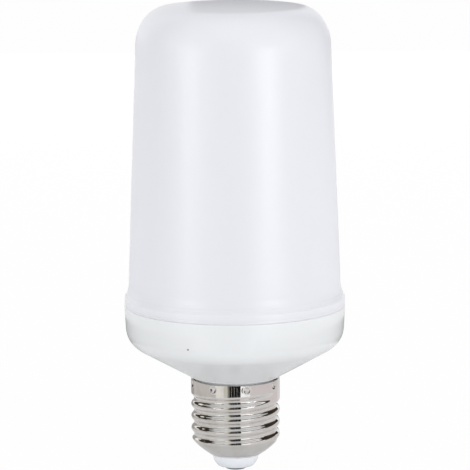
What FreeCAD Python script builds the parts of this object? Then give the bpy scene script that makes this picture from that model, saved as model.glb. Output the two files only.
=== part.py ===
"""Flame effect LED bulb with a standard 27 mm Edison screw cap.

Frame: the tip of the centre contact is the origin, the lamp's axis is Z,
and the crown of the cover is at the top.
Sizes are in millimetres. Every level is stacked up from the contact's tip.
"""
import FreeCAD, Part
import math
import os

V = FreeCAD.Vector
AXIS = V(0, 0, 1)
ORIGIN = V(0, 0, 0)

# Clearances
SEAT = 0.02
SLIDE = 0.10
LOOSE = 0.20

# Screw cap, a rolled shell
THREAD_PITCH = 3.629
THREAD_MAJOR_R = 13.03
THREAD_DEPTH = 0.98
THREAD_TURNS = 4.5
GROOVE_END_ABOVE_END = 18.64
GROOVE_END_DEG = 61
CAP_WALL = 0.35
CAP_LENGTH = 23.3
CAP_END_R = 7.2
BOWL_HEIGHT = 5.2
BOWL_BULGE = 0.35
COLLAR_PROUD = 0.17
COLLAR_LENGTH = 4.0
PUNCH_COUNT = 8
PUNCH_R = 1.0
PUNCH_FLOOR_R = 0.5
PUNCH_DEPTH = 0.5
PUNCH_BELOW_RIM = 1.5
PUNCH_FIRST_DEG = 15

# Insulator and centre contact
CONTACT_HEIGHT = 0.85
CONTACT_R = 3.4
CONTACT_EDGE_R = 0.6
SHANK_R = 1.2
SHANK_PROUD = 1.4
INSULATOR_PROUD = 3.65
INSULATOR_TIP_R = 4.9
INSULATOR_BULGE = 0.4
FLANGE_RISE = 3.2

# Housing, a moulded cup
LIP_GAP = 0.75
LIP_R = 13.75
LIP_HEIGHT = 0.12
CONE_SLOPE_DEG = 29.7
CONE_CORNER_R = 6.8
BAND_TAPER = 0.058
RIM_R = 32.56
RIM_ABOVE_LIP = 21.15
HOUSING_WALL = 1.8
NECK_LENGTH = 3.75
NECK_WALL = 2.0
SPIGOT_HEIGHT = 2.6
SPIGOT_WALL = 1.3
POST_COUNT = 3
POST_FIRST_DEG = 30
POST_RING_R = 21.0
POST_R = 3.2
POST_BELOW_RIM = 3.0

# Cover, a translucent moulding
COVER_WALL = 1.6
FOOT_REVEAL = 0.06
FOOT_HEIGHT = 2.6
FOOT_DRAFT = 0.12
FOOT_ROUND = 0.25
COVE_RISE = 4.4
COVE_DIP = 0.25
COVER_BASE_R = 31.15
COVER_SHOULDER_R = 28.53
COVER_STRAIGHT = 68.85
SHOULDER_WIDTH = 9.1
SHOULDER_HEIGHT = 11.85
CROWN_RISE = 0.5

# Inner frame and lamp boards
BASE_PLATE = 2.0
BASE_HOLE_R = 9.0
SOCKET_HEIGHT = 3.0
SCREW_R = 1.0
SCREW_HEAD_R = 2.4
SCREW_HEAD_HEIGHT = 1.4
SCREW_LENGTH = 7.0
TUBE_R = 16.0
TUBE_WALL = 1.5
TUBE_LENGTH = 72.0
SLOT_WIDTH = 6.0
SLOT_HEIGHT = 9.0
FLEX_THICKNESS = 0.25
FLEX_SEAM = 1.5
FLEX_LOW = 5.0
FLEX_HIGH = 1.0
LED_WIDTH = 2.8
LED_LENGTH = 3.5
LED_HEIGHT = 0.8
LED_COLUMNS = 12
LED_ROWS = 8
END_PLATE = 2.0
END_SPIGOT = 4.0
TOP_BOARD_R = 14.0
TOP_BOARD = 1.2
TOP_LED_COUNT = 6
TOP_LED_RING_R = 9.0

# Driver board and what stands on it: blocks are (width, depth, height), and UP counts from the board's foot
BOARD_WIDTH = 22.4
BOARD_THICKNESS = 1.2
BOARD_ABOVE_CAP_END = 7.5
BOARD_LENGTH = 33.0
CAPACITOR_R = 4.0
CAPACITOR_LENGTH = 14.0
CAPACITOR_UP = 15.0
RECTIFIER = (6.4, 2.4, 4.8)
RECTIFIER_UP = 10.5
INDUCTOR_R = 3.6
INDUCTOR_LENGTH = 6.0
INDUCTOR_UP = 21.0
FUSE_R = 1.6
FUSE_LENGTH = 6.0
FUSE_UP = 2.0
DRIVER_CHIP = (5.0, 1.6, 4.0)
DRIVER_CHIP_UP = 8.5
FLAME_CHIP = (5.0, 1.6, 4.0)
FLAME_CHIP_UP = 28.0
TILT_R = 1.6
TILT_LENGTH = 4.6
TILT_TOP_UP = 31.2
TILT_ASIDE = 5.6
WIRE_R = 0.5

# Steps that stand for each round stretch of an outline
BOWL_STEPS = 3
NOSE_STEPS = 3
CONTACT_STEPS = 2
CORNER_STEPS = 4
FOOT_STEPS = 2
SHOULDER_STEPS = 5
CROWN_STEPS = 2
SMALL_SIDES = 8

# Levels, counted up from the contact's tip
insulator_z = CONTACT_HEIGHT
cap_end_z = insulator_z + INSULATOR_PROUD
groove_end_z = cap_end_z + GROOVE_END_ABOVE_END
flange_top_z = cap_end_z + FLANGE_RISE
shank_top_z = flange_top_z + SHANK_PROUD
cap_rim_z = cap_end_z + CAP_LENGTH
collar_z = cap_rim_z - COLLAR_LENGTH
collar_bore_z = collar_z + CAP_WALL
punch_z = cap_rim_z - PUNCH_BELOW_RIM
lip_z = cap_rim_z + LIP_GAP
cone_z = lip_z + LIP_HEIGHT
neck_low_z = lip_z - NECK_LENGTH
rim_z = lip_z + RIM_ABOVE_LIP
post_top_z = rim_z - POST_BELOW_RIM
plate_top_z = post_top_z + BASE_PLATE
tube_top_z = plate_top_z + TUBE_LENGTH
end_plate_z = tube_top_z + END_PLATE
board_z = cap_end_z + BOARD_ABOVE_CAP_END
board_top_z = board_z + BOARD_LENGTH

# Radii and faces that several pieces share
root_r = THREAD_MAJOR_R - THREAD_DEPTH
cap_bore_r = root_r - CAP_WALL
collar_r = THREAD_MAJOR_R + COLLAR_PROUD
collar_bore_r = collar_r - CAP_WALL
neck_r = collar_bore_r - SLIDE
neck_bore_r = neck_r - NECK_WALL
foot_r = RIM_R - FOOT_REVEAL
spigot_r = foot_r - COVER_WALL - SLIDE
spigot_bore_r = spigot_r - SPIGOT_WALL
tube_bore_r = TUBE_R - TUBE_WALL
flex_r = TUBE_R + SEAT + FLEX_THICKNESS
board_face_y = BOARD_THICKNESS / 2
cone_rise = math.tan(math.radians(CONE_SLOPE_DEG))


def turned(points):
    """A solid turned round the axis from the closed outline through (r, z) points."""
    outline = [V(r, 0, z) for r, z in points]
    return Part.Face(Part.makePolygon(outline + outline[:1])).revolve(ORIGIN, AXIS, 360)


def ring(r_in, r_out, z_low, z_high):
    return turned([(r_in, z_low), (r_out, z_low), (r_out, z_high), (r_in, z_high)])


def disc(radius, z_low, z_high):
    return Part.makeCylinder(radius, z_high - z_low, V(0, 0, z_low))


def ellipse_points(centre, size, steps):
    """Points on the outer upper quarter of an ellipse, from side to top. size holds its half widths."""
    angles = [math.pi / 2 * i / steps for i in range(steps + 1)]
    return [(centre[0] + size[0] * math.cos(a), centre[1] + size[1] * math.sin(a)) for a in angles]


def bulged(a, b, bulge, steps):
    """Points from a to b on a shallow curve that stands off its chord by bulge, to the right of the way."""
    length = math.dist(a, b)
    side = ((b[1] - a[1]) / length, (a[0] - b[0]) / length)
    points = []
    for i in range(steps + 1):
        t = i / steps
        off = 4 * bulge * t * (1 - t)
        points.append((a[0] + (b[0] - a[0]) * t + side[0] * off, a[1] + (b[1] - a[1]) * t + side[1] * off))
    return points


def rounding_arc(before, corner, after, radius):
    """The arc that rounds the corner between two straight stretches."""
    to_a = (before - corner).normalize()
    to_b = (after - corner).normalize()
    half = to_a.getAngle(to_b) / 2
    reach = radius / math.tan(half)
    middle = corner + (to_a + to_b).normalize() * (radius / math.sin(half) - radius)
    return Part.Arc(corner + to_a * reach, middle, corner + to_b * reach)


def rounded(before, corner, after, radius, steps):
    """Points that round a corner of an outline."""
    arc = rounding_arc(*[V(r, 0, z) for r, z in (before, corner, after)], radius)
    low, high = arc.FirstParameter, arc.LastParameter
    points = [arc.value(low + (high - low) * i / steps) for i in range(steps + 1)]
    return [(v.x, v.z) for v in points]


def round_pattern(shape, count, first_deg=0.0):
    """Copies of a shape set at equal angles round the axis."""
    copies = []
    for i in range(count):
        copy = shape.copy()
        copy.rotate(ORIGIN, AXIS, first_deg + i * 360 / count)
        copies.append(copy)
    return copies


def many_sided(centre, normal, radius):
    """A small section with a few equal sides, square to normal."""
    across = V(0, 1, 0) if abs(normal.x) > 0.5 else V(1, 0, 0)
    up = normal.cross(across)
    turns = [2 * math.pi * (i + 0.5) / SMALL_SIDES for i in range(SMALL_SIDES)]
    corners = [centre + across * (radius * math.cos(t)) + up * (radius * math.sin(t)) for t in turns]
    return Part.makePolygon(corners + corners[:1])


def wire_run(points):
    """A wire along straight runs joined by tangent arcs, each arc as large as its runs allow."""
    edges = []
    start = points[0]
    for before, corner, after in zip(points, points[1:], points[2:]):
        turn = math.pi - (before - corner).getAngle(after - corner)
        run = min((corner - before).Length, (after - corner).Length)
        arc = rounding_arc(before, corner, after, 0.45 * run / math.tan(turn / 2))
        edges += [Part.makeLine(start, arc.StartPoint), arc.toShape()]
        start = arc.EndPoint
    edges.append(Part.makeLine(start, points[-1]))
    section = many_sided(points[0], (points[1] - points[0]).normalize(), WIRE_R)
    return Part.Wire(edges).makePipeShell([section], True, False)


# Screw cap
def bowl(inset):
    """Points of the cap's drawn-in end, from its edge up to the thread, moved inwards by inset."""
    foot = (CAP_END_R, cap_end_z)
    head = (THREAD_MAJOR_R, cap_end_z + BOWL_HEIGHT)
    length = math.dist(foot, head)
    inward = (-(head[1] - foot[1]) / length * inset, (head[0] - foot[0]) / length * inset)
    return [(r + inward[0], z + inward[1]) for r, z in bulged(foot, head, BOWL_BULGE, BOWL_STEPS)]


def thread_groove():
    """The rolled groove of the thread, from below the bowl up to its run-out, with flats for curves."""
    arc_r = (THREAD_PITCH**2 / 4 + THREAD_DEPTH**2) / (4 * THREAD_DEPTH)
    flank = math.asin(THREAD_PITCH / 4 / arc_r)
    bottom_half = THREAD_PITCH / 4 - THREAD_DEPTH / 2 / math.tan(flank)
    mouth_half = bottom_half + (THREAD_DEPTH + CAP_WALL) / math.tan(flank)
    mouth_r = THREAD_MAJOR_R + CAP_WALL
    outline = [V(root_r, 0, bottom_half), V(mouth_r, 0, mouth_half), V(mouth_r, 0, -mouth_half)]
    outline.append(V(root_r, 0, -bottom_half))
    helix = Part.makeHelix(THREAD_PITCH, THREAD_TURNS * THREAD_PITCH, root_r)
    groove = Part.Wire(helix.Edges).makePipeShell([Part.makePolygon(outline + outline[:1])], True, True)
    groove.rotate(ORIGIN, AXIS, GROOVE_END_DEG - 90 - 360 * THREAD_TURNS)
    groove.translate(V(0, 0, groove_end_z - THREAD_TURNS * THREAD_PITCH))
    return groove


def punch_marks(grown):
    """The ring of tapered punch marks in the collar, grown by a wall where they stand out on its inside."""
    depth = PUNCH_DEPTH + grown
    slope = (PUNCH_R - PUNCH_FLOOR_R) / PUNCH_DEPTH
    outward = V(1, 0, 0)
    floor = many_sided(V(collar_r - depth, 0, punch_z), outward, PUNCH_R + grown - slope * depth)
    mouth_r = PUNCH_R + grown + slope * THREAD_DEPTH
    mouth = many_sided(V(collar_r + THREAD_DEPTH, 0, punch_z), outward, mouth_r)
    return round_pattern(Part.makeLoft([floor, mouth], True, True), PUNCH_COUNT, PUNCH_FIRST_DEG - 90)


def screw_shell():
    """The cap: a sheet shell with its round thread, drawn-in end, plain collar and punch marks."""
    blank = turned([(0, cap_end_z)] + bowl(0) + [(THREAD_MAJOR_R, cap_rim_z), (0, cap_rim_z)])
    collar = disc(collar_r, collar_z, cap_rim_z)
    collar.rotate(ORIGIN, AXIS, PUNCH_FIRST_DEG / 2)
    inner = bowl(CAP_WALL)
    inner_side = [(inner[0][0], cap_end_z)] + inner + [(THREAD_MAJOR_R, cap_rim_z)]
    filling = turned([(0, cap_end_z)] + inner_side + [(0, cap_rim_z)])
    hollow = filling.common(disc(cap_bore_r, cap_end_z, cap_rim_z))
    hollow = hollow.fuse(disc(collar_bore_r, collar_bore_z, cap_rim_z))
    shell = blank.cut(thread_groove()).fuse(collar).cut(hollow)
    inside = disc(collar_bore_r + SEAT, collar_bore_z, cap_rim_z)
    for boss in punch_marks(CAP_WALL):
        shell = shell.fuse(boss.common(inside))
    for mark in punch_marks(0):
        shell = shell.cut(mark)
    return shell


def insulator():
    """The moulded plug: its nose shows below the cap, and its flange seats on the cap's drawn-in end."""
    seat = bowl(CAP_WALL + SEAT)
    hole_r = SHANK_R + SEAT
    nose = bulged((INSULATOR_TIP_R, insulator_z), (seat[0][0] - SEAT, cap_end_z), INSULATOR_BULGE, NOSE_STEPS)
    on_bowl = [point for point in seat if point[1] < flange_top_z]
    low, high = on_bowl[-1], seat[len(on_bowl)]
    share = (flange_top_z - low[1]) / (high[1] - low[1])
    edge = (low[0] + (high[0] - low[0]) * share, flange_top_z)
    return turned([(hole_r, insulator_z)] + nose + on_bowl + [edge, (hole_r, flange_top_z)])


def centre_contact():
    """The contact's button with its rounded edge, and its shank through the insulator."""
    edge = rounded((0, 0), (CONTACT_R, 0), (CONTACT_R, CONTACT_HEIGHT), CONTACT_EDGE_R, CONTACT_STEPS)
    top = [(CONTACT_R, CONTACT_HEIGHT), (SHANK_R, CONTACT_HEIGHT), (SHANK_R, shank_top_z), (0, shank_top_z)]
    return turned([(0, 0)] + edge + top)


# Housing
def cone_level(r, inset):
    """The height of the housing's cone at a radius, moved inwards by inset."""
    return cone_z + (r - LIP_R) * cone_rise + inset / math.cos(math.radians(CONE_SLOPE_DEG))


def cup_side(inset, start_r):
    """Points of the cup's cone, rounded corner and band, from radius start_r up to the rim."""
    rim = (RIM_R - inset, rim_z)
    reach = rim[0] - BAND_TAPER * rim_z
    corner_z = (cone_level(reach, inset)) / (1 - cone_rise * BAND_TAPER)
    corner = (rim[0] - BAND_TAPER * (rim_z - corner_z), corner_z)
    start = (start_r, cone_level(start_r, inset))
    return [start] + rounded(start, corner, rim, CONE_CORNER_R - inset, CORNER_STEPS) + [rim]


def housing():
    """The cup with its neck, lip, cone, band, spigot for the cover, screw posts and board rails."""
    outer = [(neck_bore_r, neck_low_z), (neck_r, neck_low_z), (neck_r, lip_z), (LIP_R, lip_z)]
    outer += cup_side(0, LIP_R)
    spigot = [(spigot_r, rim_z), (spigot_r, rim_z + SPIGOT_HEIGHT), (spigot_bore_r, rim_z + SPIGOT_HEIGHT)]
    inner = cup_side(HOUSING_WALL, neck_bore_r)
    under_spigot = [(spigot_bore_r, rim_z - SPIGOT_WALL), (inner[-1][0], rim_z - 2 * SPIGOT_WALL)]
    cup = turned(outer + spigot + under_spigot + list(reversed(inner[:-1])))
    for post in screw_posts():
        cup = cup.fuse(post)
    return cup.cut(stake_groove()).cut(board_rails())


def stake_groove():
    """The groove round the neck that the collar's punch marks are driven into."""
    half = PUNCH_R + SLIDE
    floor_r = collar_r - PUNCH_DEPTH - CAP_WALL - SLIDE
    return ring(floor_r, neck_r + SLIDE, punch_z - half, punch_z + half)


def screw_posts():
    """The screw posts, standing on the cup's cone."""
    inner_r = POST_RING_R - POST_R
    foot_z = cone_level(inner_r, HOUSING_WALL / 2)
    post = Part.makeCylinder(POST_R, post_top_z - foot_z, V(POST_RING_R, 0, foot_z))
    depth = SCREW_LENGTH - BASE_PLATE + SLIDE
    hole = Part.makeCylinder(SCREW_R + SEAT, depth, V(POST_RING_R, 0, post_top_z - depth))
    inset = HOUSING_WALL / 2
    slope = [(0, cone_level(0, inset)), (RIM_R, cone_level(RIM_R, inset))]
    above_cone = turned(slope + [(RIM_R, rim_z), (0, rim_z)])
    return [copy.common(above_cone) for copy in round_pattern(post.cut(hole), POST_COUNT, POST_FIRST_DEG)]


def board_rails():
    """The two grooves in the neck that hold the driver board's edges."""
    rail_r = BOARD_WIDTH / 2 + LOOSE
    width = BOARD_THICKNESS + 2 * SLIDE
    height = cone_level(rail_r, HOUSING_WALL) - neck_low_z
    slot = Part.makeBox(2 * rail_r, width, height, V(-rail_r, -width / 2, neck_low_z))
    return slot.common(disc(rail_r, neck_low_z, rim_z))


# Cover
def diffuser():
    """The cover: a ring foot, a cove, a long tapered wall, an elliptical shoulder and a shallow crown."""
    foot_top = (foot_r - FOOT_DRAFT, rim_z + FOOT_HEIGHT)
    cove = (foot_top[0] - FOOT_ROUND, foot_top[1] + FOOT_ROUND)
    wall_low = (COVER_BASE_R, cove[1] + COVE_RISE)
    shoulder_z = wall_low[1] + COVER_STRAIGHT
    crown_r = COVER_SHOULDER_R - SHOULDER_WIDTH
    crown_z = shoulder_z + SHOULDER_HEIGHT
    outer = [(foot_r, rim_z)] + bulged(foot_top, cove, FOOT_ROUND / 4, FOOT_STEPS)
    outer += bulged(cove, wall_low, -COVE_DIP, FOOT_STEPS)[1:]
    outer += ellipse_points((crown_r, shoulder_z), (SHOULDER_WIDTH, SHOULDER_HEIGHT), SHOULDER_STEPS)
    outer += bulged((crown_r, crown_z), (0, crown_z + CROWN_RISE), CROWN_RISE / 4, CROWN_STEPS)[1:]
    inner_size = (SHOULDER_WIDTH - COVER_WALL, SHOULDER_HEIGHT - COVER_WALL)
    inner = ellipse_points((crown_r, shoulder_z), inner_size, SHOULDER_STEPS - 2)
    bore_r = foot_r - COVER_WALL
    inner = [(bore_r, rim_z), (bore_r, foot_top[1]), (COVER_BASE_R - COVER_WALL, wall_low[1])] + inner
    return turned(outer + [(0, crown_z - COVER_WALL)] + list(reversed(inner)))


# Inner frame and lamp boards
def lead_slot():
    """The notch at the tube's foot that the leads come out through."""
    return Part.makeBox(SLOT_WIDTH, TUBE_R + SLOT_WIDTH, SLOT_HEIGHT, V(-SLOT_WIDTH / 2, 0, plate_top_z))


def base_plate():
    """The round plate on the posts, with a socket ring for the tube and a hole for the leads."""
    plate = ring(BASE_HOLE_R, spigot_bore_r - LOOSE, post_top_z, plate_top_z)
    socket_r = tube_bore_r - SLIDE
    socket = ring(socket_r - TUBE_WALL, socket_r, plate_top_z, plate_top_z + SOCKET_HEIGHT).cut(lead_slot())
    hole = Part.makeCylinder(SCREW_R + SEAT, BASE_PLATE, V(POST_RING_R, 0, post_top_z))
    plate = plate.fuse(socket)
    for copy in round_pattern(hole, POST_COUNT, POST_FIRST_DEG):
        plate = plate.cut(copy)
    return plate


def base_screws():
    """The screws that hold the plate to the posts."""
    head = Part.makeCylinder(SCREW_HEAD_R, SCREW_HEAD_HEIGHT, V(POST_RING_R, 0, plate_top_z))
    shank = Part.makeCylinder(SCREW_R, SCREW_LENGTH, V(POST_RING_R, 0, plate_top_z - SCREW_LENGTH))
    return Part.makeCompound(round_pattern(head.fuse(shank), POST_COUNT, POST_FIRST_DEG))


def core_tube():
    return ring(tube_bore_r, TUBE_R, plate_top_z, tube_top_z).cut(lead_slot())


def flex_board():
    """The wrapped board, open along its seam at the back."""
    board = ring(TUBE_R + SEAT, flex_r, plate_top_z + FLEX_LOW, tube_top_z - FLEX_HIGH)
    return board.cut(Part.makeBox(FLEX_SEAM, 2 * TUBE_R, TUBE_LENGTH, V(SLOT_WIDTH / 2, 0, plate_top_z)))


def flame_leds():
    """Rows of lamps on the wrapped board, each row turned half a step from the last."""
    lamp = Part.makeBox(LED_HEIGHT, LED_WIDTH, LED_LENGTH, V(flex_r + SEAT, -LED_WIDTH / 2, -LED_LENGTH / 2))
    step = (TUBE_LENGTH - FLEX_LOW - FLEX_HIGH) / LED_ROWS
    lamps = []
    for row in range(LED_ROWS):
        placed = lamp.translated(V(0, 0, plate_top_z + FLEX_LOW + (row + 0.5) * step))
        lamps += round_pattern(placed, LED_COLUMNS, -90 + (row % 2) * 180 / LED_COLUMNS)
    return Part.makeCompound(lamps)


def end_plate():
    """The moulded plate that closes the tube's upper end, with its spigot."""
    spigot_outer_r = tube_bore_r - SLIDE
    spigot = ring(spigot_outer_r - TUBE_WALL, spigot_outer_r, tube_top_z - END_SPIGOT, tube_top_z)
    return disc(flex_r + LED_HEIGHT, tube_top_z, end_plate_z).fuse(spigot)


def top_board():
    return disc(TOP_BOARD_R, end_plate_z, end_plate_z + TOP_BOARD)


def top_leds():
    corner = V(TOP_LED_RING_R - LED_LENGTH / 2, -LED_WIDTH / 2, end_plate_z + TOP_BOARD)
    led = Part.makeBox(LED_LENGTH, LED_WIDTH, LED_HEIGHT, corner)
    return Part.makeCompound(round_pattern(led, TOP_LED_COUNT))


# Driver
def driver_board():
    corner = V(-BOARD_WIDTH / 2, -board_face_y, board_z)
    return Part.makeBox(BOARD_WIDTH, BOARD_THICKNESS, BOARD_LENGTH, corner)


def on_back(size, up):
    """A block on the board's back."""
    return Part.makeBox(*size, V(-size[0] / 2, board_face_y, board_z + up))


def on_front(size, up):
    """A block on the board's front."""
    return Part.makeBox(*size, V(-size[0] / 2, -board_face_y - size[1], board_z + up))


def can_on_back(radius, length, x, up):
    """A round can that lies along the board's back."""
    return Part.makeCylinder(radius, length, V(x, board_face_y + radius, board_z + up))


def bulk_capacitor():
    return can_on_back(CAPACITOR_R, CAPACITOR_LENGTH, 0, CAPACITOR_UP)


def bridge_rectifier():
    return on_front(RECTIFIER, RECTIFIER_UP)


def inductor():
    """A drum-wound choke that stands off the board's front."""
    foot = V(0, -board_face_y, board_z + INDUCTOR_UP)
    return Part.makeCylinder(INDUCTOR_R, INDUCTOR_LENGTH, foot, V(0, -1, 0))


def fuse_resistor():
    return Part.makeCylinder(FUSE_R, FUSE_LENGTH, V(0, -board_face_y - FUSE_R, board_z + FUSE_UP))


def driver_chip():
    return on_back(DRIVER_CHIP, DRIVER_CHIP_UP)


def flame_chip():
    return on_front(FLAME_CHIP, FLAME_CHIP_UP)


def tilt_switch():
    """A sealed can with a ball in it, taken as one solid."""
    return can_on_back(TILT_R, TILT_LENGTH, TILT_ASIDE, TILT_TOP_UP - TILT_LENGTH)


def live_wire():
    """From the contact's shank to the foot of the fuse resistor."""
    fuse_y = -board_face_y - FUSE_R
    end_z = board_z + FUSE_UP
    rise = end_z - shank_top_z
    low = V(0, 0, shank_top_z + 0.3 * rise)
    high = V(0, fuse_y, shank_top_z + 0.7 * rise)
    return wire_run([V(0, 0, shank_top_z), low, high, V(0, fuse_y, end_z)])


def neutral_wire():
    """From the cap's inner wall to the board's back."""
    x = BOARD_WIDTH / 5
    wall_y = math.sqrt(cap_bore_r**2 - (x + WIRE_R) ** 2) - SEAT
    run = wall_y - board_face_y
    low_z = board_z + CAPACITOR_R
    high_z = low_z + run / 3
    knees = [V(x, wall_y - run / 3, high_z), V(x, board_face_y + run / 3, low_z)]
    return wire_run([V(x, wall_y, high_z)] + knees + [V(x, board_face_y, low_z)])


def board_link():
    """The lead pair from the driver board, through plate and tube, to the wrapped board."""
    top_z = plate_top_z + (FLEX_LOW + SLOT_HEIGHT) / 2
    leads = []
    for x in (-SLOT_WIDTH / 4, SLOT_WIDTH / 4):
        flex_y = math.sqrt((TUBE_R + SEAT) ** 2 - (abs(x) + WIRE_R) ** 2)
        knees = [V(x, 0, plate_top_z - BASE_PLATE), V(x, TUBE_R / 2, top_z)]
        leads.append(wire_run([V(x, 0, board_top_z)] + knees + [V(x, flex_y, top_z)]))
    return Part.makeCompound(leads)


NODES = [
    diffuser, housing, screw_shell, insulator, centre_contact, base_plate, base_screws, core_tube, flex_board,
    flame_leds, end_plate, top_board, top_leds, driver_board, bulk_capacitor, bridge_rectifier, inductor,
    fuse_resistor, driver_chip, flame_chip, tilt_switch, live_wire, neutral_wire, board_link,
]

os.makedirs("parts", exist_ok=True)
for make in NODES:
    name = make.__name__
    shape = make()
    if not shape.isValid():
        raise ValueError(f"{name} is not a valid solid")
    shape.exportStep(os.path.join("parts", f"{name}.step"))
    print(f"{name}: {len(shape.Solids)} solids, {shape.Volume:.1f} mm3")
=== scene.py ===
"""Flame effect LED bulb: the cover, housing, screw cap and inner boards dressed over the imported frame.

Profiles are written in millimetres as (r, z) from the tip of the centre contact. Meshes are in metres.
"""
import math

import bmesh
import bpy
from mathutils import Matrix, Vector


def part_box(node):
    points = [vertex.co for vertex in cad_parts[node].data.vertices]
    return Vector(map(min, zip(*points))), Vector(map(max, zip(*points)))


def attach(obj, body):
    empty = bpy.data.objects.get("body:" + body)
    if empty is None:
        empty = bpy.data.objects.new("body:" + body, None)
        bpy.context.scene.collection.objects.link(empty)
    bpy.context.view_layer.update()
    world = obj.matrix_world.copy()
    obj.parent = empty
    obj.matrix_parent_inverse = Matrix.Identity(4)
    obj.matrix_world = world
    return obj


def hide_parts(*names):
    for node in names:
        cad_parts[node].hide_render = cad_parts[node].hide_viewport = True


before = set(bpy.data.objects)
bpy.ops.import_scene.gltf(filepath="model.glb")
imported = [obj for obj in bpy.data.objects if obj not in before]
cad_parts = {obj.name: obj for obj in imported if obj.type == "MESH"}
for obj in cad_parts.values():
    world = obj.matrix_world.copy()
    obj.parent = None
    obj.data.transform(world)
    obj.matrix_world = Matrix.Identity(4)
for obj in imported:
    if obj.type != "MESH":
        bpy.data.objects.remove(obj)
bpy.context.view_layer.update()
MM = 0.001
ON_AXIS = 1e-6
WHITE = (1.0, 1.0, 1.0, 1.0)

bl_info = {
    "name": "Flame effect bulb",
    "version": (1, 0, 0),
    "blender": (4, 5, 0),
    "location": "3D View > Sidebar > Bulb",
    "description": "Builds the bulb's cover, housing, screw cap, boards and studio",
    "category": "Add Mesh",
}


def level(node, end):
    """The lowest (0) or highest (1) z of a CAD node, in millimetres."""
    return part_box(node)[end][2] / MM


def outer_radius(node):
    """The largest radius of a CAD node, in millimetres."""
    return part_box(node)[1][0] / MM


def length_property(name, description, default):
    """A length setting, with its default in millimetres."""
    return bpy.props.FloatProperty(
        name=name, description=description, default=default * MM, unit="LENGTH", precision=5
    )


def colour_property(name, description, default):
    return bpy.props.FloatVectorProperty(
        name=name, description=description, default=default, subtype="COLOR", size=3, min=0.0, max=1.0
    )


def share_property(name, description, default):
    return bpy.props.FloatProperty(
        name=name, description=description, default=default, subtype="FACTOR", min=0.0, max=1.0
    )


def angle_property(name, description, default):
    return bpy.props.FloatProperty(name=name, description=description, default=default, subtype="ANGLE")


def power_property(name, description, default):
    return bpy.props.FloatProperty(name=name, description=description, default=default, unit="POWER")


# Settings


class BULB_PG_cover(bpy.types.PropertyGroup):
    """The tall frosted cover"""

    wall: length_property("Wall", "Thickness of the moulded wall", 1.6)
    foot_height: length_property("Foot height", "Height of the ring foot above the parting line", 2.6)
    cove: length_property("Cove height", "Height of the hollow sweep above the foot", 4.65)
    shoulder_r: length_property("Shoulder radius", "Radius of the wall where the shoulder starts", 28.53)
    shoulder_width: length_property("Shoulder width", "How far the shoulder turns in", 9.1)
    shoulder_height: length_property("Shoulder height", "How far the shoulder rises", 11.85)
    ridge: length_property("Ridge depth", "Depth of the fine rings round the foot", 0.05)
    colour: colour_property("Colour", "Milky white of the cover", (0.793, 0.80, 0.86))
    roughness: share_property("Roughness", "Satin finish of the cover", 0.33)


class BULB_PG_housing(bpy.types.PropertyGroup):
    """The glossy moulded cup under the cover"""

    wall: length_property("Wall", "Thickness of the cup's wall", 1.8)
    edge: length_property("Edge rounding", "Rounding of the rim at the parting line", 0.22)
    colour: colour_property("Colour", "White of the housing", (0.795, 0.815, 0.83))
    roughness: share_property("Roughness", "Gloss of the housing", 0.26)


class BULB_PG_cap(bpy.types.PropertyGroup):
    """The rolled Edison screw cap"""

    crest_r: length_property("Crest radius", "Radius over the thread's crest", 13.1)
    root_r: length_property("Root radius", "Radius at the thread's root", 12.25)
    pitch: length_property("Pitch", "Rise of the thread in one turn", 3.629)
    crest_z: length_property("Crest height", "Height of the top crest on the left side", 19.8)
    sheet: length_property("Sheet", "Thickness of the rolled sheet", 0.35)
    punch_r: length_property("Punch radius", "Radius of a staking punch mark", 1.1)
    punch_depth: length_property("Punch depth", "Depth of a staking punch mark", 0.5)
    colour: colour_property("Colour", "Nickel plate", (0.80, 0.78, 0.76))
    roughness: share_property("Roughness", "Polish of the nickel plate", 0.055)


class BULB_PG_plug(bpy.types.PropertyGroup):
    """The insulator and the centre contact"""

    insulator_colour: colour_property("Insulator", "Bluish white of the insulator", (0.88, 0.91, 0.96))
    contact_colour: colour_property("Contact", "Tinned metal of the contact", (0.50, 0.52, 0.58))


class BULB_PG_inside(bpy.types.PropertyGroup):
    """The lamp boards, driver and leads inside the cover"""

    frame_colour: colour_property("Frame", "Moulded inner frame", (0.80, 0.80, 0.77))
    lamp_board_colour: colour_property("Lamp board", "White solder mask", (0.86, 0.86, 0.83))
    board_colour: colour_property("Driver board", "Green solder mask", (0.03, 0.17, 0.05))
    phosphor_colour: colour_property("Phosphor", "Window of each lamp", (0.93, 0.62, 0.12))
    lead_colour: colour_property("Leads", "Sheath of the leads", (0.45, 0.02, 0.015))


class BULB_PG_stage(bpy.types.PropertyGroup):
    """The floor, lamps and camera"""

    lens: bpy.props.FloatProperty(
        name="Lens", description="Focal length of the camera", default=238.04, subtype="DISTANCE_CAMERA"
    )
    distance: length_property("Distance", "How far the camera stands from the bulb's axis", 900.0)
    height: length_property("Height", "Height of the camera above the contact's tip", 224.95)
    pitch: angle_property("Pitch", "How far the camera looks down", 0.1702)
    roll: angle_property("Roll", "How far the camera leans", -0.0062)
    ambient: bpy.props.FloatProperty(
        name="Ambient", description="Strength of the soft light from all round", default=0.75, min=0.0
    )
    strip: power_property("Strips", "Power of a front strip with its soft twin, before its share", 2.7)
    fill: power_property("Fills", "Power of a fill lamp, before its share", 1.0)
    overhead: power_property("Overhead", "Power of the broad overhead lamp", 0.85)


# Outlines


def arc(centre, half, start, end, steps):
    """Points on an ellipse's arc from start to end, in degrees. half is its (r, z) half widths."""
    angles = [math.radians(start + (end - start) * i / steps) for i in range(steps + 1)]
    return [(centre[0] + half[0] * math.cos(a), centre[1] + half[1] * math.sin(a)) for a in angles]


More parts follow.
